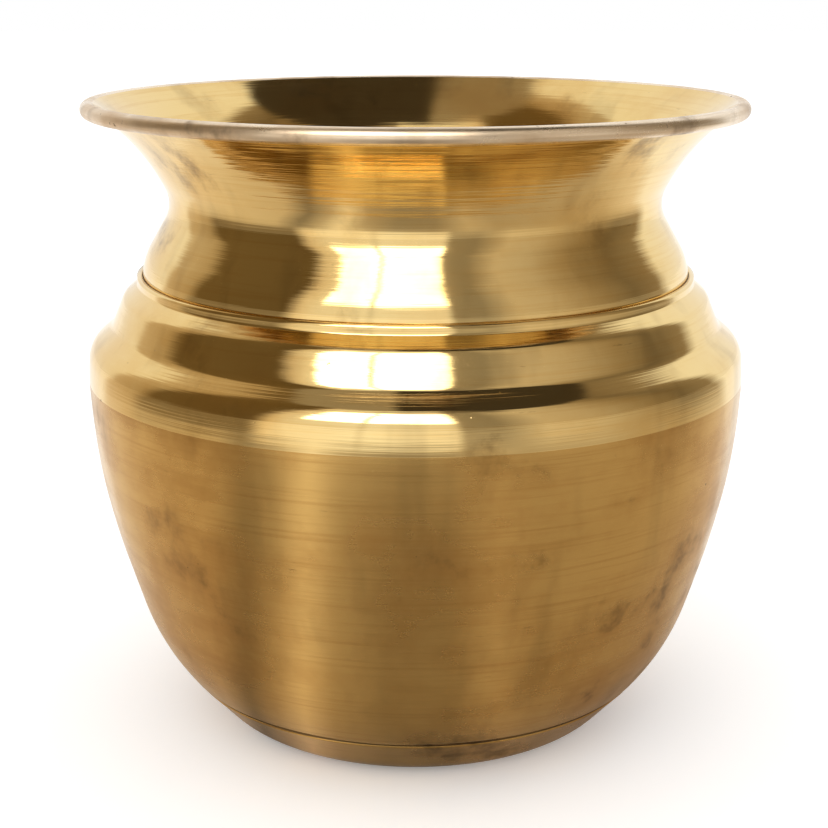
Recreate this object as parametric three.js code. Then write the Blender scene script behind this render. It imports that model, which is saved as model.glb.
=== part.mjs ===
// A lota: a small brass water pot raised from sheet, in millimetres, with +Z up.
// Three spun and raised sheets make it: a base dish, a belly and a neck.
// Two lapped seams are brazed, and a wire stiffens the rolled rim.
// Every piece is turned about the Z axis, and the pot stands on z = 0.

import * as THREE from "three";

// How finely the round pieces are cut.
const FACETS = 40;
const CHORD_ERROR = 0.05;
const LARGEST_STEP = THREE.MathUtils.degToRad(30);

// Sheet, wire and braze.
const BODY_SHEET = 0.8;
const NECK_SHEET = 0.7;
const BRAZE_FILM = 0.2;
const WIRE_RADIUS = 0.39;
const WIRE_CLEARANCE = 0.2;

// Base dish: the flat foot turns up into a cone that holds the belly.
const FOOT_CORNER_RADIUS = 33.08;
const FOOT_BEND = 9.27;
const FLANGE_LENGTH = 11.2;
const FLANGE_ANGLE = THREE.MathUtils.degToRad(47.7);
const BASE_LAP = 5.6;
const BELLY_EDGE_TUCK = 0.5;
const SEAM_GAP = 0.2;
const SEAM_DEPTH = 0.12;
const JOGGLE_RUN = 0.5;
const JOGGLE_INNER_BEND = 0.4;
const JOGGLE_OUTER_BEND = 1;

// Belly: bands on the outside of the sheet, from the ground up and from the neck out.
// The two curve points lie between the flange's edge and the widest ring,
// and each bend takes a share of the shorter straight beside it.
const LOW_CURVE = { out: 0.366, up: 0.136, ease: 0.8 };
const SIDE_CURVE = { out: 0.935, up: 0.664, ease: 0.74 };
const BELLY_HEIGHT = 61.5;
const BELLY_BEND = 34;
const SHOULDER_RISE = 4.97;
const SHOULDER_INSET = 0.44;
const SHOULDER_WIDTH = 4.2;
const SHOULDER_BEND = 4.3;
const COLLAR_ROOT_RISE = 3.13;
const COLLAR_ROOT_BEND = 2.6;
const COLLAR_RISE = 5.05;
const COLLAR_STEP = 2.15;
const COLLAR_BEND = 2.68;
const COLLAR_TOP_RISE = 1.95;
const COLLAR_TOP_WIDTH = 2.4;
const UPSTAND_BEND = 0.5;
const UPSTAND_HEIGHT = 1.4;

// Neck: the skirt stands inside the belly's upstand, and each band rises from the last.
const SKIRT_RADIUS = 46.05;
const SKIRT_BELOW_UPSTAND = 2.2;
const SKIRT_RISE = 0.9;
const SKIRT_BEND = 4;
const BULGE_RISE = 2.4;
const BULGE_INSET = 0.55;
const BULGE_BEND = 11.5;
const WAIST_RISE = 8.71;
const WAIST_INSET = 5;
const WAIST_BEND = 5.89;
const FLARE_RISE = 9.89;
const FLARE_REACH = 5.33;
const FLARE_BEND = 33;
const SEAM_FILLET = 0.9;

// Rim: the lip rolls outward and down around the wire.
const RIM_RISE = 5.7;
const RIM_REACH = 7.91;
const ROLL_SWEEP = THREE.MathUtils.degToRad(280);

// A point of an outline, with the radius of the bend there.
function station(r, z, bend = 0) {
  return { point: new THREE.Vector2(r, z), bend };
}

// Points on an arc, cut so that no chord leaves it by more than CHORD_ERROR.
function arc(centre, radius, startAngle, sweep) {
  const step = Math.min(LARGEST_STEP, 2 * Math.acos(1 - CHORD_ERROR / Math.max(radius, 1)));
  const count = Math.max(1, Math.ceil(Math.abs(sweep) / step));
  const points = [];
  for (let i = 0; i <= count; i++) {
    const angle = startAngle + (sweep * i) / count;
    points.push(new THREE.Vector2(Math.cos(angle), Math.sin(angle)).multiplyScalar(radius).add(centre));
  }
  return points;
}

// A path through the stations, with each corner rounded to its bend or by its ease.
function roundedPath(stations) {
  const points = [stations[0].point.clone()];
  for (let i = 1; i < stations.length - 1; i++) {
    const corner = stations[i].point;
    const into = corner.clone().sub(stations[i - 1].point).normalize();
    const out = stations[i + 1].point.clone().sub(corner).normalize();
    const turn = Math.atan2(into.cross(out), into.dot(out));
    const { bend, ease } = stations[i];
    if ((!bend && !ease) || Math.abs(turn) < 1e-6) {
      points.push(corner.clone());
      continue;
    }
    const slope = Math.tan(Math.abs(turn) / 2);
    const straight = Math.min(
      corner.distanceTo(stations[i - 1].point),
      corner.distanceTo(stations[i + 1].point),
    );
    const radius = ease ? (ease * straight) / slope : bend;
    const start = corner.clone().addScaledVector(into, -radius * slope);
    const toCentre = new THREE.Vector2(-into.y, into.x).multiplyScalar(Math.sign(turn) * radius);
    const centre = start.clone().add(toCentre);
    const startAngle = Math.atan2(start.y - centre.y, start.x - centre.x);
    points.push(...arc(centre, radius, startAngle, turn));
  }
  points.push(stations[stations.length - 1].point.clone());
  return points;
}

// The same path moved to its left, which is the inside of the pot.
function inset(path, distance) {
  return path.map((point, i) => {
    const before = path[Math.max(i - 1, 0)];
    const after = path[Math.min(i + 1, path.length - 1)];
    const into = (i > 0 ? point.clone().sub(before) : after.clone().sub(point)).normalize();
    const out = (i < path.length - 1 ? after.clone().sub(point) : point.clone().sub(before)).normalize();
    const mean = into.clone().add(out).normalize();
    const normal = new THREE.Vector2(-mean.y, mean.x);
    const stretch = 1 / mean.dot(into);
    return point.clone().addScaledVector(normal, distance * stretch);
  });
}

// A mesh turned about Z from an outline that runs up its outer side.
function turned(name, outline, closed, finish) {
  const profile = closed ? [...outline, outline[0].clone()] : outline;
  const geometry = new THREE.LatheGeometry(profile, FACETS);
  geometry.rotateX(Math.PI / 2);
  const mesh = new THREE.Mesh(geometry, new THREE.MeshStandardMaterial(finish));
  mesh.name = name;
  return mesh;
}

// The dish's flange is a cone: a place on it is so far along and so deep in.
const flangeStart = new THREE.Vector2(FOOT_CORNER_RADIUS, 0);
const flangeAlong = new THREE.Vector2(Math.cos(FLANGE_ANGLE), Math.sin(FLANGE_ANGLE));
const flangeInward = new THREE.Vector2(-flangeAlong.y, flangeAlong.x);

function flangePoint(along, depth) {
  return flangeStart.clone().addScaledVector(flangeAlong, along).addScaledVector(flangeInward, depth);
}

function flangeDepth(point) {
  return point.clone().sub(flangeStart).dot(flangeInward);
}

function flangeStation(along, depth, bend = 0) {
  return { point: flangePoint(along, depth), bend };
}

const lapStart = FLANGE_LENGTH - BASE_LAP;
const lapDepth = BODY_SHEET + BRAZE_FILM;
const joggleStart = FLANGE_LENGTH + SEAM_GAP;

// Base dish: a flat floor, a round corner and the flange.
const dishOuter = roundedPath([
  station(0, 0),
  station(FOOT_CORNER_RADIUS, 0, FOOT_BEND),
  flangeStation(lapStart, 0),
  flangeStation(FLANGE_LENGTH, 0),
]);
const dishInner = inset(dishOuter, BODY_SHEET);
const dishOutline = [...dishOuter, flangePoint(FLANGE_LENGTH, SEAM_DEPTH), ...dishInner.toReversed()];

// Belly: lapped inside the flange, joggled out flush, then up to the upstand.
const upstandRadius = SKIRT_RADIUS + BRAZE_FILM + BODY_SHEET;
const collarRadius = upstandRadius + COLLAR_TOP_WIDTH;
const collarRootRadius = collarRadius + COLLAR_STEP;
const bellyRadius = collarRootRadius + SHOULDER_WIDTH;
const shoulderZ = BELLY_HEIGHT + SHOULDER_RISE;
const collarRootZ = shoulderZ + COLLAR_ROOT_RISE;
const collarZ = collarRootZ + COLLAR_RISE;
const upstandFootZ = collarZ + COLLAR_TOP_RISE;
const upstandTopZ = upstandFootZ + UPSTAND_HEIGHT;
const flangeEdge = flangePoint(joggleStart + JOGGLE_RUN, 0);
const widestRing = new THREE.Vector2(bellyRadius, BELLY_HEIGHT);

// A curve point so far out and so far up from the flange's edge to the widest ring.
function curveStation(curve) {
  const span = widestRing.clone().sub(flangeEdge);
  const point = flangeEdge.clone().add(span.multiply(new THREE.Vector2(curve.out, curve.up)));
  return { point, ease: curve.ease };
}

const bellyOuter = roundedPath([
  flangeStation(lapStart - BELLY_EDGE_TUCK, lapDepth),
  flangeStation(lapStart, lapDepth),
  flangeStation(joggleStart, lapDepth, JOGGLE_INNER_BEND),
  flangeStation(joggleStart + JOGGLE_RUN, 0, JOGGLE_OUTER_BEND),
  curveStation(LOW_CURVE),
  curveStation(SIDE_CURVE),
  station(bellyRadius, BELLY_HEIGHT, BELLY_BEND),
  station(bellyRadius - SHOULDER_INSET, shoulderZ, SHOULDER_BEND),
  station(collarRootRadius, collarRootZ, COLLAR_ROOT_BEND),
  station(collarRadius, collarZ, COLLAR_BEND),
  station(upstandRadius, upstandFootZ, UPSTAND_BEND),
  station(upstandRadius, upstandTopZ),
]);
const bellyInner = inset(bellyOuter, BODY_SHEET);
const bellyOutline = [...bellyOuter, ...bellyInner.toReversed()];

// Base seam: braze in the lap and up to just under the surface, or to where the joggle
// comes nearest to it.
const lapFace = bellyOuter.slice(1);
const seamEnd = lapFace.findIndex((point, i) => {
  const depth = flangeDepth(point);
  return depth < SEAM_DEPTH || flangeDepth(lapFace[i + 1]) > depth + 0.001;
});
const baseSeamOutline = [
  flangePoint(lapStart, BODY_SHEET),
  flangePoint(FLANGE_LENGTH, BODY_SHEET),
  flangePoint(FLANGE_LENGTH, SEAM_DEPTH),
  ...lapFace.slice(0, seamEnd).toReversed(),
];

// Neck: skirt, bulge, waist and flare, then the roll round the wire.
const skirtTopZ = upstandTopZ + SKIRT_RISE;
const bulgeRadius = SKIRT_RADIUS - BULGE_INSET;
const bulgeZ = skirtTopZ + BULGE_RISE;
const waistRadius = bulgeRadius - WAIST_INSET;
const waistZ = bulgeZ + WAIST_RISE;
const flarePoint = new THREE.Vector2(waistRadius + FLARE_REACH, waistZ + FLARE_RISE);
const rollCentre = flarePoint.clone().add(new THREE.Vector2(RIM_REACH, RIM_RISE));
const rollInside = WIRE_RADIUS + WIRE_CLEARANCE;
const toRoll = rollCentre.clone().sub(flarePoint);
const flareAngle = toRoll.angle() + Math.asin(rollInside / toRoll.length());
const roll = arc(rollCentre, rollInside, flareAngle + Math.PI / 2, -ROLL_SWEEP);
const neckOuter = [
  ...roundedPath([
    station(SKIRT_RADIUS, upstandFootZ - SKIRT_BELOW_UPSTAND),
    station(SKIRT_RADIUS, skirtTopZ, SKIRT_BEND),
    station(bulgeRadius, bulgeZ, BULGE_BEND),
    station(waistRadius, waistZ, WAIST_BEND),
    station(flarePoint.x, flarePoint.y, FLARE_BEND),
    { point: roll[0], bend: 0 },
  ]),
  ...roll.slice(1),
];
const neckInner = inset(neckOuter, NECK_SHEET);
const neckOutline = [...neckOuter, ...neckInner.toReversed()];

// Neck seam: braze between skirt and upstand, with a fillet below the upstand.
const filletTop = upstandFootZ - SEAM_FILLET;
const upstandFace = bellyInner.slice(bellyInner.findLastIndex((point) => point.y <= filletTop) + 1);
const neckSeamTop = upstandTopZ - SEAM_DEPTH;
const neckSeamOutline = [
  ...upstandFace.slice(0, -1),
  new THREE.Vector2(SKIRT_RADIUS + BRAZE_FILM, neckSeamTop),
  new THREE.Vector2(SKIRT_RADIUS, neckSeamTop),
  new THREE.Vector2(SKIRT_RADIUS, upstandFace[0].y - SEAM_FILLET / 2),
];

const satinBrass = { color: 0xa5783c, roughness: 0.42, metalness: 1 };
const polishedBrass = { color: 0xd9a65b, roughness: 0.14, metalness: 1 };
const wireBrass = { color: 0xb98a52, roughness: 0.5, metalness: 1 };
const brazeMetal = { color: 0x6d5432, roughness: 0.7, metalness: 0.8 };

const lota = new THREE.Group();
lota.name = "lota";
lota.add(
  turned("base_dish", dishOutline, false, satinBrass),
  turned("base_seam_braze", baseSeamOutline, true, brazeMetal),
  turned("belly_shell", bellyOutline, true, satinBrass),
  turned("neck_seam_braze", neckSeamOutline, true, brazeMetal),
  turned("neck_shell", neckOutline, true, polishedBrass),
  turned("rim_wire", arc(rollCentre, WIRE_RADIUS, 0, 2 * Math.PI).slice(0, -1), true, wireBrass),
);

export default lota;
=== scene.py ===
import math
import bpy
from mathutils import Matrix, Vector, noise


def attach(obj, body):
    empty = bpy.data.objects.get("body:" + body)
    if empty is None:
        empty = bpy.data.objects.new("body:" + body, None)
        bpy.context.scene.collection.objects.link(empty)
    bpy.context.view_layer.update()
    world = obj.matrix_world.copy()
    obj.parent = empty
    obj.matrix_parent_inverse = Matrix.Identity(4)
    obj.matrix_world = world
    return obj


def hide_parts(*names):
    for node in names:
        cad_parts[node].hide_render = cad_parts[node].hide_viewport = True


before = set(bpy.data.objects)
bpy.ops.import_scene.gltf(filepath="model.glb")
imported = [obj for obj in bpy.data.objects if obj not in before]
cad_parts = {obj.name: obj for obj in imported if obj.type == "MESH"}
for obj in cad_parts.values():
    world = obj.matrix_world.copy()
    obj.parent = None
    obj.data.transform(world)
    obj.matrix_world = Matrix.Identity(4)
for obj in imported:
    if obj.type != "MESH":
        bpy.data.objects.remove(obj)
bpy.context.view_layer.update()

# Base dish: the round bottom of the pot, raised from brass sheet, with a flat foot.
# Its wall turns up into a cone that laps over the belly's lower edge.
# It is satin from use, with blotchy tarnish, and the lap shows as a fine line.
MM = 0.001
ROUND_STEPS = 320
BODY_SHEET = 0.8
FOOT_CORNER_RADIUS = 33.08
FOOT_BEND = 9.27
FLANGE_LENGTH = 11.2
FLANGE_ANGLE = math.radians(47.7)
BASE_LAP = 5.6
SEAM_DEPTH = 0.12
AXIS_RADIUS = 0.02
DENT_DEPTH = 0.07
DENT_WIDTH = 17.0
RIPPLE_WIDTH = 5.1
RIPPLE_SHARE = 0.16
LEVEL_FOOT_HEIGHT = 6
UNDENTED_RADIUS = 1


def arc(centre, radius, start, sweep, fineness=0.35):
    """Points on an arc, about as far apart as the fineness and 6 degrees at most."""
    by_length = math.ceil(abs(sweep) * radius / fineness)
    by_angle = math.ceil(abs(sweep) / math.radians(6))
    count = max(3, by_length, by_angle)
    angles = [start + sweep * i / count for i in range(count + 1)]
    return [centre + radius * Vector((math.cos(a), math.sin(a))) for a in angles]


def rounded_path(stations):
    """A path through (radius, height, bend) stations, with each corner rounded to its bend."""
    corners = [Vector(station[:2]) for station in stations]
    points = [corners[0]]
    for before, corner, after, station in zip(corners, corners[1:], corners[2:], stations[1:]):
        bend = station[2]
        into = (corner - before).normalized()
        out = (after - corner).normalized()
        turn = math.atan2(into.cross(out), into.dot(out))
        if bend == 0:
            points.append(corner)
            continue
        start = corner - into * bend * math.tan(abs(turn) / 2)
        centre = start + Vector((-into.y, into.x)) * math.copysign(bend, turn)
        spoke = start - centre
        points += arc(centre, bend, math.atan2(spoke.y, spoke.x), turn)
    return points + [corners[-1]]


def divided(path, longest=0.6):
    """The same path with its long straight runs cut into short ones."""
    points = [path[0]]
    for start, end in zip(path, path[1:]):
        count = max(1, math.ceil((end - start).length / longest))
        points += [start.lerp(end, i / count) for i in range(1, count + 1)]
    return points


def inset(path, distance):
    """The same path moved to its left, which is the inside of the pot."""
    moved = []
    for i, point in enumerate(path):
        into = (point - path[i - 1]).normalized() if i else (path[1] - point).normalized()
        out = (path[i + 1] - point).normalized() if i + 1 < len(path) else into
        mean = (into + out).normalized()
        moved.append(point + Vector((-mean.y, mean.x)) * distance / mean.dot(into))
    return moved


def dented(point):
    """A place on the sheet, moved in or out as hand work leaves it, but not at the foot."""
    swell = noise.noise(Vector((point.x, point.y, point.z * 1.6)) / (DENT_WIDTH * MM))
    ripple = noise.noise(Vector((point.x, point.y, point.z * 2.2 + 3)) / (RIPPLE_WIDTH * MM))
    outward = Vector((point.x, point.y, 0)).normalized()
    rise = min(1.0, point.z / (LEVEL_FOOT_HEIGHT * MM))
    return point + outward * DENT_DEPTH * MM * rise * (swell + RIPPLE_SHARE * ripple)


def turned(name, runs, finishes):
    """A piece turned about Z from runs of (points, finish number), up its outside first."""
    outline = [(point, finish) for points, finish in runs for point in points]
    verts = []
    for point, _ in outline:
        for step in range(ROUND_STEPS):
            angle = 2 * math.pi * step / ROUND_STEPS
            place = Vector((point.x * math.cos(angle), point.x * math.sin(angle), point.y)) * MM
            verts.append(dented(place) if point.x > UNDENTED_RADIUS else place)
    faces = []
    numbers = []
    for ring, (_, finish) in enumerate(outline):
        following = (ring + 1) % len(outline)
        for step in range(ROUND_STEPS):
            beside = (step + 1) % ROUND_STEPS
            faces.append((ring * ROUND_STEPS + step, ring * ROUND_STEPS + beside,
                          following * ROUND_STEPS + beside, following * ROUND_STEPS + step))
            numbers.append(finish)
    mesh = bpy.data.meshes.new(name)
    mesh.from_pydata(verts, [], faces)
    for finish in finishes:
        mesh.materials.append(finish)
    mesh.polygons.foreach_set("material_index", numbers)
    mesh.shade_smooth()
    piece = bpy.data.objects.new(name, mesh)
    bpy.context.scene.collection.objects.link(piece)
    return piece


class Link:
    """A socket of a shader; arithmetic on it adds Math nodes."""

    def __init__(self, tree, socket=None):
        self.tree = tree
        self.socket = socket

    def node(self, kind, settings=None, values=None, output=0):
        """Any node: its settings come first, then the values or links of its sockets."""
        made = self.tree.nodes.new(kind)
        for key, value in (settings or {}).items():
            if key == "stops":
                ramp = made.color_ramp
                while len(ramp.elements) < len(value):
                    ramp.elements.new(1.0)
                for element, (place, colour) in zip(ramp.elements, value):
                    element.position = place
                    element.color = colour
            else:
                setattr(made, key, value)
        for key, value in (values or {}).items():
            if isinstance(value, Link):
                self.tree.links.new(value.socket, made.inputs[key])
            else:
                made.inputs[key].default_value = value
        return Link(self.tree, made.outputs[output])

    def maths(self, operation, *operands):
        """One Math node over links or numbers."""
        return self.node("ShaderNodeMath", {"operation": operation}, dict(enumerate(operands)))

    def __add__(self, other):
        return self.maths("ADD", self, other)

    def __sub__(self, other):
        return self.maths("SUBTRACT", self, other)

    def __rsub__(self, other):
        return self.maths("SUBTRACT", other, self)

    def __mul__(self, other):
        return self.maths("MULTIPLY", self, other)

    __radd__ = __add__
    __rmul__ = __mul__

    def output(self, key):
        """Another output of the node that this socket is on."""
        return Link(self.tree, self.socket.node.outputs[key])

    def step(self, low, high):
        """0 below low and 1 above high, with a smooth rise between."""
        values = {"Value": self, "From Min": low, "From Max": high}
        return self.node("ShaderNodeMapRange", {"interpolation_type": "SMOOTHSTEP"}, values)

    def blend(self, first, second):
        """The first colour where this is 0 and the second where it is 1."""
        # The Mix node's colours are its inputs 6 and 7 and its output 2.
        return self.node("ShaderNodeMix", {"data_type": "RGBA"}, {0: self, 6: first, 7: second}, 2)

    def clouds(self, place, scale, detail=4.0, roughness=0.55):
        """Soft noise from 0 to 1 over a place."""
        values = {"Vector": place, "Scale": scale, "Detail": detail, "Roughness": roughness}
        return self.node("ShaderNodeTexNoise", None, values)

    def grain(self, place, factors, detail, roughness):
        """Soft noise that varies a different number of times a metre along each axis."""
        stretched = self.node("ShaderNodeVectorMath", {"operation": "MULTIPLY"}, {0: place, 1: factors})
        return self.clouds(stretched, 1.0, detail, roughness)


def linear(red, green, blue):
    """A colour written as 0 to 255 on a screen, as the light values that a shader takes."""
    shares = [value / 255 for value in (red, green, blue)]
    return tuple(((v + 0.055) / 1.055) ** 2.4 if v > 0.04045 else v / 12.92 for v in shares) + (1.0,)


# How many times each mark varies in a metre along X, Y and up.
STREAKS = (40.0, 40.0, 260.0)
FINE_RINGS = (9.0, 9.0, 3300.0)
TOOL_MARKS = (14.0, 14.0, 1000.0)
BROAD_RINGS = (4.0, 4.0, 260.0)
DARK_LINES = (24.0, 24.0, 1500.0)
DASHES = (110.0, 110.0, 1300.0)
DRIPS = (120.0, 120.0, 16.0)
# The other rings' depth as so many times the fine rings', and the pits' depth in metres.
TOOL_MARK_DEPTH = 4.5
BROAD_RING_DEPTH = 5.0
SPECK_PIT = 2e-5
DASH_PIT = 6e-6


def brass(name, bright, dull, stain, gloss, scratch, spots, age, anisotropic=0.0):
    """Sheet brass turned on a lathe: rings of fine scratches, patchy tarnish and dark specks.

    gloss is (roughness where bright, roughness where dull), and scratch is the fine rings' depth
    in metres. More spots give more dark specks, and age is how strongly tarnish shows.
    """
    material = bpy.data.materials.new(name)
    material.use_nodes = True
    tree = material.node_tree
    shader = tree.nodes["Principled BSDF"]
    link = Link(tree)
    place = link.node("ShaderNodeTexCoord", output="Object")
    patches = link.clouds(place, 38.0, 6.0, 0.6)
    streaks = link.grain(place, STREAKS, 4.0, 0.6)
    rings = link.grain(place, FINE_RINGS, 3.0, 0.7)
    tool_marks = link.grain(place, TOOL_MARKS, 3.0, 0.65)
    broad_rings = link.grain(place, BROAD_RINGS, 2.0, 0.5)
    lines = 1 - link.grain(place, DARK_LINES, 4.0, 0.75).step(0.32, 0.52)
    dashes = link.grain(place, DASHES, 4.0, 0.7).step(0.68, 0.76)
    drips = link.grain(place, DRIPS, 3.0, 0.5).step(0.52, 0.72)
    specks = link.clouds(place, 520.0, 3.0, 0.6).step(0.74 - spots, 0.80 - spots)
    stain_places = link.clouds(place, 21.0, 2.0).step(0.45, 0.6)
    stains = link.clouds(place, 75.0, 5.0, 0.65).step(0.54, 0.74) * stain_places
    tarnish = (patches * 0.8 + streaks * 0.2).step(0.40, 0.68) * age
    dark_marks = specks.maths("MAXIMUM", specks, dashes * age * 0.8)
    tone = tarnish.blend(bright, dull)
    tone = (lines * 0.5).blend(tone, dull)
    tone = (drips * age * 0.22).blend(tone, stain)
    tone = (stains * age * 0.8).blend(tone, stain)
    tone = (dark_marks * 0.7).blend(tone, stain)
    low, high = gloss
    rough = tarnish * (high - low) + low + stains * 0.1 + specks * 0.15 + (rings - 0.5) * 0.06
    height = rings + tool_marks * TOOL_MARK_DEPTH + broad_rings * BROAD_RING_DEPTH
    height = height * scratch - specks * SPECK_PIT - dashes * DASH_PIT
    values = {"Height": height, "Strength": 1.0, "Distance": 1.0}
    bump = link.node("ShaderNodeBump", None, values)
    shader.inputs["Metallic"].default_value = 1.0
    shader.inputs["Anisotropic"].default_value = anisotropic
    shader.inputs["Anisotropic Rotation"].default_value = 0.25
    tree.links.new(tone.socket, shader.inputs["Base Color"])
    tree.links.new(rough.socket, shader.inputs["Roughness"])
    tree.links.new(bump.socket, shader.inputs["Normal"])
    return material


def on_flange(along, depth, bend=0):
    """A station so far up the flange's cone and so deep in from its outside."""
    radius = FOOT_CORNER_RADIUS + along * math.cos(FLANGE_ANGLE) - depth * math.sin(FLANGE_ANGLE)
    height = along * math.sin(FLANGE_ANGLE) + depth * math.cos(FLANGE_ANGLE)
    return radius, height, bend


def dress(piece, node):
    """The piece stands for its CAD node, which it hides, and moves with the pot."""
    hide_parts(node)
    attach(piece, "root")


satin_brass = brass("satin_brass", linear(222, 182, 110), linear(196, 150, 84), linear(120, 96, 58),
                    (0.20, 0.34), 3e-6, 0.005, 1.0, 0.5)
inside_brass = brass("inside_brass", linear(210, 172, 108), linear(166, 124, 70), linear(92, 72, 46),
                     (0.28, 0.46), 1.6e-6, 0.02, 1.0)
lap_start = FLANGE_LENGTH - BASE_LAP
dish_outer = divided(rounded_path([
    (AXIS_RADIUS, 0, 0),
    (FOOT_CORNER_RADIUS, 0, FOOT_BEND),
    on_flange(FLANGE_LENGTH, 0),
]))
dish_inner = inset(dish_outer, BODY_SHEET)
base_dish = turned("dish", [(dish_outer, 0), (dish_inner[::-1], 1)], [satin_brass, inside_brass])
dress(base_dish, "base_dish")

# Belly: spun brass sheet, joggled in at the bottom to lie inside the dish's flange.
# Its round side is satin; the shoulder, the step and the short upstand are polished bright.
BRAZE_FILM = 0.2
SEAM_GAP = 0.2
BELLY_EDGE_TUCK = 0.5
JOGGLE_RUN = 0.5
JOGGLE_INNER_BEND = 0.4
JOGGLE_OUTER_BEND = 1
SKIRT_RADIUS = 46.05
UPSTAND_FOOT_Z = 76.6
UPSTAND_TOP_Z = 78.0
UPSTAND_BEND = 0.5
SATIN_TOP_Z = 60.6
# Corners of the outline: a radius, a height and a bend.
LOW_SIDE = (46.48, 15.95, 40)
HIGH_SIDE = (54.85, 43.8, 110)
WIDEST = (55.8, 61.5, 34)
SHOULDER = (55.36, 66.47, 4.3)
COLLAR_ROOT = (51.6, 69.6, 2.6)
COLLAR = (49.45, 74.65, 2.68)

polished_brass = brass("polished_brass", linear(240, 211, 146), linear(230, 192, 120), linear(130, 102, 62),
                       (0.06, 0.13), 9.5e-6, -0.005, 1.0, 0.3)
lap_depth = BODY_SHEET + BRAZE_FILM
joggle_start = FLANGE_LENGTH + SEAM_GAP
upstand_radius = SKIRT_RADIUS + BRAZE_FILM + BODY_SHEET
belly_outer = divided(rounded_path([
    on_flange(lap_start - BELLY_EDGE_TUCK, lap_depth),
    on_flange(joggle_start, lap_depth, JOGGLE_INNER_BEND),
    on_flange(joggle_start + JOGGLE_RUN, 0, JOGGLE_OUTER_BEND),
    LOW_SIDE,
    HIGH_SIDE,
    WIDEST,
    SHOULDER,
    COLLAR_ROOT,
    COLLAR,
    (upstand_radius, UPSTAND_FOOT_Z, UPSTAND_BEND),
    (upstand_radius, UPSTAND_TOP_Z, 0),
]))
satin_part = [point for point in belly_outer if point.y < SATIN_TOP_Z]
bright_part = [point for point in belly_outer if point.y >= SATIN_TOP_Z]
belly_inner = inset(belly_outer, BODY_SHEET)
belly = turned("belly", [(satin_part, 0), (bright_part, 1), (belly_inner[::-1], 2)],
               [satin_brass, polished_brass, inside_brass])
dress(belly, "belly_shell")

# Base seam: brazing alloy run into the lap between dish and belly.
# It stops just below the surface, so the lap shows as a fine dark line.
braze = brass("braze", linear(130, 104, 66), linear(100, 78, 48), linear(56, 44, 30),
              (0.4, 0.6), 1e-6, 0.05, 1.0)


def flange_depth(point):
    """How far in from the flange's outside a point lies."""
    return (point.x - FOOT_CORNER_RADIUS) * -math.sin(FLANGE_ANGLE) + point.y * math.cos(FLANGE_ANGLE)


lap_face = []
for point in belly_outer[1:]:
    if flange_depth(point) < SEAM_DEPTH:
        break
    lap_face.append(point)
base_seam_outline = [
    Vector(on_flange(lap_start, BODY_SHEET)[:2]),
    Vector(on_flange(FLANGE_LENGTH, BODY_SHEET)[:2]),
    Vector(on_flange(FLANGE_LENGTH, SEAM_DEPTH)[:2]),
    *lap_face[::-1],
]
base_seam = turned("base_seam", [(base_seam_outline, 0)], [braze])
dress(base_seam, "base_seam_braze")

# Neck: thinner brass sheet, spun to a waist and a wide flare and polished like a mirror.
# Its skirt stands inside the belly's upstand; the lip is rolled out and down round a wire.
NECK_SHEET = 0.7
SKIRT_BELOW_UPSTAND = 3.6
WIRE_RADIUS = 0.39
WIRE_CLEARANCE = 0.2
ROLL_CENTRE = Vector((53.74, 105.6))
ROLL_SWEEP = math.radians(280)
ROLL_FINENESS = 0.1
SKIRT_TOP_Z = 78.9
SKIRT_BEND = 4
BULGE = (45.5, 81.3, 11.5)
WAIST = (40.5, 90.01, 5.89)
FLARE = (45.83, 99.9, 33)

# The rim's pale cream, near white, is a painted highlight: its colour is lightened to stand for the
# window's sheen on the bead.
rim_brass_painted_highlight = brass("rim_brass_painted_highlight", linear(246, 228, 202), linear(214, 184, 146), linear(112, 86, 58),
                  (0.24, 0.5), 3e-6, 0.06, 1.0)
mouth_brass = brass("mouth_brass", linear(238, 208, 142), linear(222, 182, 112), linear(116, 90, 54),
                    (0.06, 0.14), 5.5e-6, 0.0, 1.0)
roll_inside = WIRE_RADIUS + WIRE_CLEARANCE
to_roll = ROLL_CENTRE - Vector(FLARE[:2])
flare_angle = math.atan2(to_roll.y, to_roll.x) + math.asin(roll_inside / to_roll.length)
roll = arc(ROLL_CENTRE, roll_inside, flare_angle + math.pi / 2, -ROLL_SWEEP, ROLL_FINENESS)
neck_outer = divided(rounded_path([
    (SKIRT_RADIUS, UPSTAND_TOP_Z - SKIRT_BELOW_UPSTAND, 0),
    (SKIRT_RADIUS, SKIRT_TOP_Z, SKIRT_BEND),
    BULGE,
    WAIST,
    FLARE,
    (roll[0].x, roll[0].y, 0),
]))
neck_path = neck_outer + roll[1:]
neck_inner = inset(neck_path, NECK_SHEET)
flare_steps = len(neck_outer)
neck = turned("neck", [
    (neck_outer, 0),
    (roll[1:], 1),
    (neck_inner[:flare_steps - 1:-1], 1),
    (neck_inner[flare_steps - 1::-1], 2),
], [polished_brass, rim_brass_painted_highlight, mouth_brass])
dress(neck, "neck_shell")

# Neck seam: brazing alloy that holds the neck's skirt in the belly's upstand.
# It fills the thin gap between them, and inside the pot it ends in a small fillet.
SEAM_FILLET = 0.9
FILLET_REACH_RADIUS = 49
fillet_top = UPSTAND_FOOT_Z - SEAM_FILLET
upstand_face = [point for point in belly_inner if point.y > fillet_top and point.x < FILLET_REACH_RADIUS]
neck_seam_outline = [
    *upstand_face[:-1],
    Vector((SKIRT_RADIUS + BRAZE_FILM, UPSTAND_TOP_Z - SEAM_DEPTH)),
    Vector((SKIRT_RADIUS, UPSTAND_TOP_Z - SEAM_DEPTH)),
    Vector((SKIRT_RADIUS, upstand_face[0].y - SEAM_FILLET / 2)),
]
neck_seam = turned("neck_seam", [(neck_seam_outline, 0)], [braze])
dress(neck_seam, "neck_seam_braze")

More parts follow.
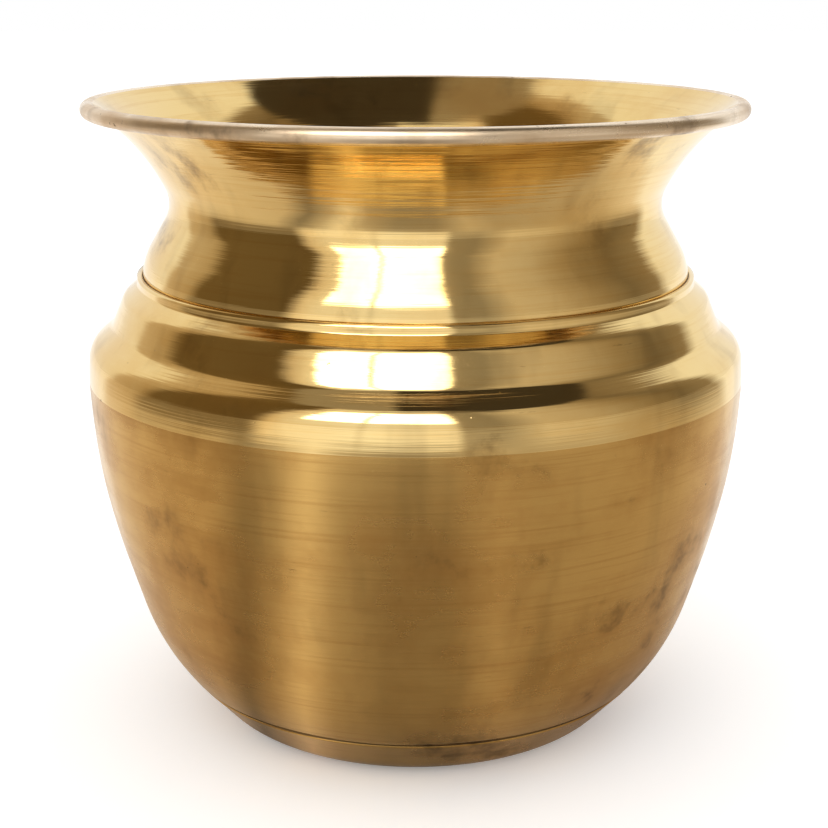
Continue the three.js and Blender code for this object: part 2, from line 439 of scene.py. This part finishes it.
# Rim wire: a ring of drawn brass wire that the lip is rolled round.
# Only its edge shows, in the narrow gap under the roll.
WIRE_FINENESS = 0.15
wire_round = arc(ROLL_CENTRE, WIRE_RADIUS, 0, 2 * math.pi, WIRE_FINENESS)
rim_wire = turned("wire", [(wire_round[:-1], 0)], [rim_brass_painted_highlight])
dress(rim_wire, "rim_wire")

# Studio: a floor that is white to the camera, a white background, a soft lamp and the room that the brass
# mirrors.
# The room is white behind the pot, with a window in front of it and brown walls beside that.
CAMERA_DISTANCE = 0.2794
CAMERA_HEIGHT = 0.1283
CAMERA_PITCH = math.radians(15.269)
CAMERA_SIDE = -0.00025
FOCAL_LENGTH = 71.8
SENSOR_WIDTH = 36.0
FLOOR_REACH = 3.0
FLOOR_DROP = 0.00005
WHITE = (1.0, 1.0, 1.0, 1.0)
BLACK = (0.0, 0.0, 0.0, 1.0)

floor_mesh = bpy.data.meshes.new("floor")
corners = [(-1, -1), (1, -1), (1, 1), (-1, 1)]
floor_verts = [(x * FLOOR_REACH, y * FLOOR_REACH, -FLOOR_DROP) for x, y in corners]
floor_mesh.from_pydata(floor_verts, [], [(0, 1, 2, 3)])
floor = bpy.data.objects.new("floor", floor_mesh)
bpy.context.scene.collection.objects.link(floor)

# Directions in degrees: to the left or right of the camera, and up from level.
PAPER_EDGE = 126
WINDOW_LEFT = -39
WINDOW_RIGHT = 13
WINDOW_SILL = 20
WINDOW_HEAD = 56
WINDOW_BLUR = 4
WINDOW_BAR = -17.6
BAR_HALF_WIDTH = 0.6
CEILING_RISE = 65
CEILING_BLUR = 3
LOW_CEILING = 10
# Light, where 1 is white.
WINDOW_GAIN = 3.6
FLOOR_GLOW = 0.1
SHADOW_LIFT = 0.2
# Metres from the pot's axis, between which the mirrored floor fades into the walls.
NEAR_FLOOR = 0.16
FAR_FLOOR = 0.5


def at_azimuth(degrees):
    """The place on a room ramp of a compass angle, with 0 towards the camera and + to the right."""
    return degrees / 360 + 0.5


def grey(level, warmth=0.12):
    """A light value from 0 to 1, a little warmer than neutral."""
    return level, level * (1 - warmth), level * (1 - 2.2 * warmth), 1.0


def compass(east, north):
    """Where a direction lies on a room ramp."""
    return east.maths("ARCTAN2", east, north * -1.0) * (0.5 / math.pi) + 0.5


def room_ramp(turn, tones):
    """The room's colour all round: tones are (degrees, colour), white behind the pot."""
    stops = [(at_azimuth(-180), WHITE), (at_azimuth(-PAPER_EDGE), WHITE)]
    stops += [(at_azimuth(degrees), colour) for degrees, colour in tones]
    stops += [(at_azimuth(PAPER_EDGE), WHITE), (at_azimuth(180), WHITE)]
    return turn.node("ShaderNodeValToRGB", {"stops": stops}, {0: turn})


WALLS = [
    (-122, grey(0.66, 0.14)), (-106, grey(0.5, 0.2)), (-99, grey(0.17, 0.3)), (-54, grey(0.14, 0.3)),
    (-48, grey(0.85)), (-40, grey(0.95, 0.05)), (-18.6, WHITE), (-17.6, grey(0.5)), (-16.6, WHITE),
    (12.5, grey(0.95, 0.05)), (15.5, grey(0.34)), (27, grey(0.3)), (42, grey(0.64)), (60, grey(0.56)),
    (84, grey(0.32, 0.2)), (100, grey(0.2, 0.2)), (118, grey(0.3, 0.2)),
]
TABLE = [
    (-120, grey(0.85, 0.08)), (-90, grey(0.66, 0.14)), (-62, grey(0.56, 0.16)), (-50, grey(0.16, 0.2)),
    (-40, grey(0.46, 0.14)), (-31, grey(0.88, 0.06)), (-22, grey(0.42, 0.12)), (-8, grey(0.23, 0.16)),
    (9, grey(0.24, 0.16)), (22, grey(0.50, 0.14)), (34, grey(0.38, 0.16)), (70, grey(0.43, 0.17)),
    (90, grey(0.5, 0.15)), (116, grey(0.8, 0.1)),
]
CEILING_LEFT = grey(0.34, 0.14)
CEILING_RIGHT = grey(0.055, 0.2)

paper = bpy.data.materials.new("white_paper")
paper.use_nodes = True
paper_tree = paper.node_tree
paper_shader = paper_tree.nodes["Principled BSDF"]
paper_shader.inputs["Roughness"].default_value = 0.9
paper_shader.inputs["Specular IOR Level"].default_value = 0.0
table = Link(paper_tree)
table_place = table.node("ShaderNodeTexCoord", output="Object")
table_parts = table.node("ShaderNodeSeparateXYZ", None, {0: table_place})
table_turn = compass(table_parts, table_parts.output("Y"))
distance = table.node("ShaderNodeVectorMath", {"operation": "LENGTH"}, {0: table_place}, "Value")
reach = distance.step(NEAR_FLOOR, FAR_FLOOR)
# Painted reflection: for glossy rays the floor is coloured as the room's table near the pot and its walls
# farther out, so the brass mirrors a painted room; the camera sees it white.
mirrored_floor = reach.blend(room_ramp(table_turn, TABLE), room_ramp(table_turn, WALLS))
table_glossy = table.node("ShaderNodeLightPath", output="Is Glossy Ray")
paper_and_painted_room_tone = table_glossy.blend(WHITE, mirrored_floor)
paper_tree.links.new(paper_and_painted_room_tone.socket, paper_shader.inputs["Base Color"])
# Painted glow: the floor glows a little for glossy rays, which lightens the brass's lower side, and for
# camera rays, which lifts the pot's shadow.
floor_glow = table_glossy * FLOOR_GLOW + table_glossy.output("Is Camera Ray") * SHADOW_LIFT
paper_shader.inputs["Emission Strength"].default_value = 1.0
paper_tree.links.new(floor_glow.blend(BLACK, WHITE).socket, paper_shader.inputs["Emission Color"])
floor_mesh.materials.append(paper)

world = bpy.data.worlds.new("room")
bpy.context.scene.world = world
world.use_nodes = True
world.cycles.sampling_method = "NONE"
world_tree = world.node_tree
room = Link(world_tree)
direction = room.node("ShaderNodeTexCoord", output="Generated")
parts = room.node("ShaderNodeSeparateXYZ", None, {0: direction})
turn = compass(parts, parts.output("Y"))
rise = room.maths("ARCSINE", parts.output("Z")) * (180 / math.pi)
across = (turn - 0.5) * 360
window_wide = across.step(WINDOW_LEFT - 1, WINDOW_LEFT) * (1 - across.step(WINDOW_RIGHT, WINDOW_RIGHT + 1))
above_sill = rise.step(WINDOW_SILL, WINDOW_SILL + WINDOW_BLUR)
below_head = 1 - rise.step(WINDOW_HEAD, WINDOW_HEAD + WINDOW_BLUR)
beside_bar = across.maths("ABSOLUTE", across - WINDOW_BAR).step(BAR_HALF_WIDTH, 2 * BAR_HALF_WIDTH)
window_light = window_wide * above_sill * below_head * beside_bar * WINDOW_GAIN
ceiling = parts.step(-0.1, -0.04).blend(CEILING_LEFT, CEILING_RIGHT)
height_seen = rise + parts.step(0.1, 0.4) * LOW_CEILING
above_walls = height_seen.step(CEILING_RISE, CEILING_RISE + CEILING_BLUR)
room_light = above_walls.blend(room_ramp(turn, WALLS), ceiling)
glossy = room.node("ShaderNodeLightPath", output="Is Glossy Ray")
seen = glossy.blend(WHITE, room_light)
gain = {0: seen, "Scale": window_light * glossy + 1}
lit_room = room.node("ShaderNodeVectorMath", {"operation": "SCALE"}, gain)
world_tree.links.new(lit_room.socket, world_tree.nodes["Background"].inputs["Color"])

LAMP_PLACE = (-0.25, -0.7, 0.75)
LAMP_AIM = Vector((0, 0, 0.05))
lamp_data = bpy.data.lights.new("window_lamp", "AREA")
lamp_data.energy = 1.0
lamp_data.size = 0.6
lamp = bpy.data.objects.new("window_lamp", lamp_data)
lamp.location = LAMP_PLACE
lamp.rotation_euler = (LAMP_AIM - lamp.location).to_track_quat("-Z", "Y").to_euler()
lamp.visible_glossy = False
bpy.context.scene.collection.objects.link(lamp)

camera_data = bpy.data.cameras.new("camera")
camera_data.lens = FOCAL_LENGTH
camera_data.sensor_width = SENSOR_WIDTH
camera = bpy.data.objects.new("camera", camera_data)
camera.location = (CAMERA_SIDE, -CAMERA_DISTANCE, CAMERA_HEIGHT)
camera.rotation_euler = (math.pi / 2 - CAMERA_PITCH, 0, 0)
bpy.context.scene.collection.objects.link(camera)
bpy.context.scene.camera = camera
bpy.context.scene.view_settings.view_transform = "Standard"
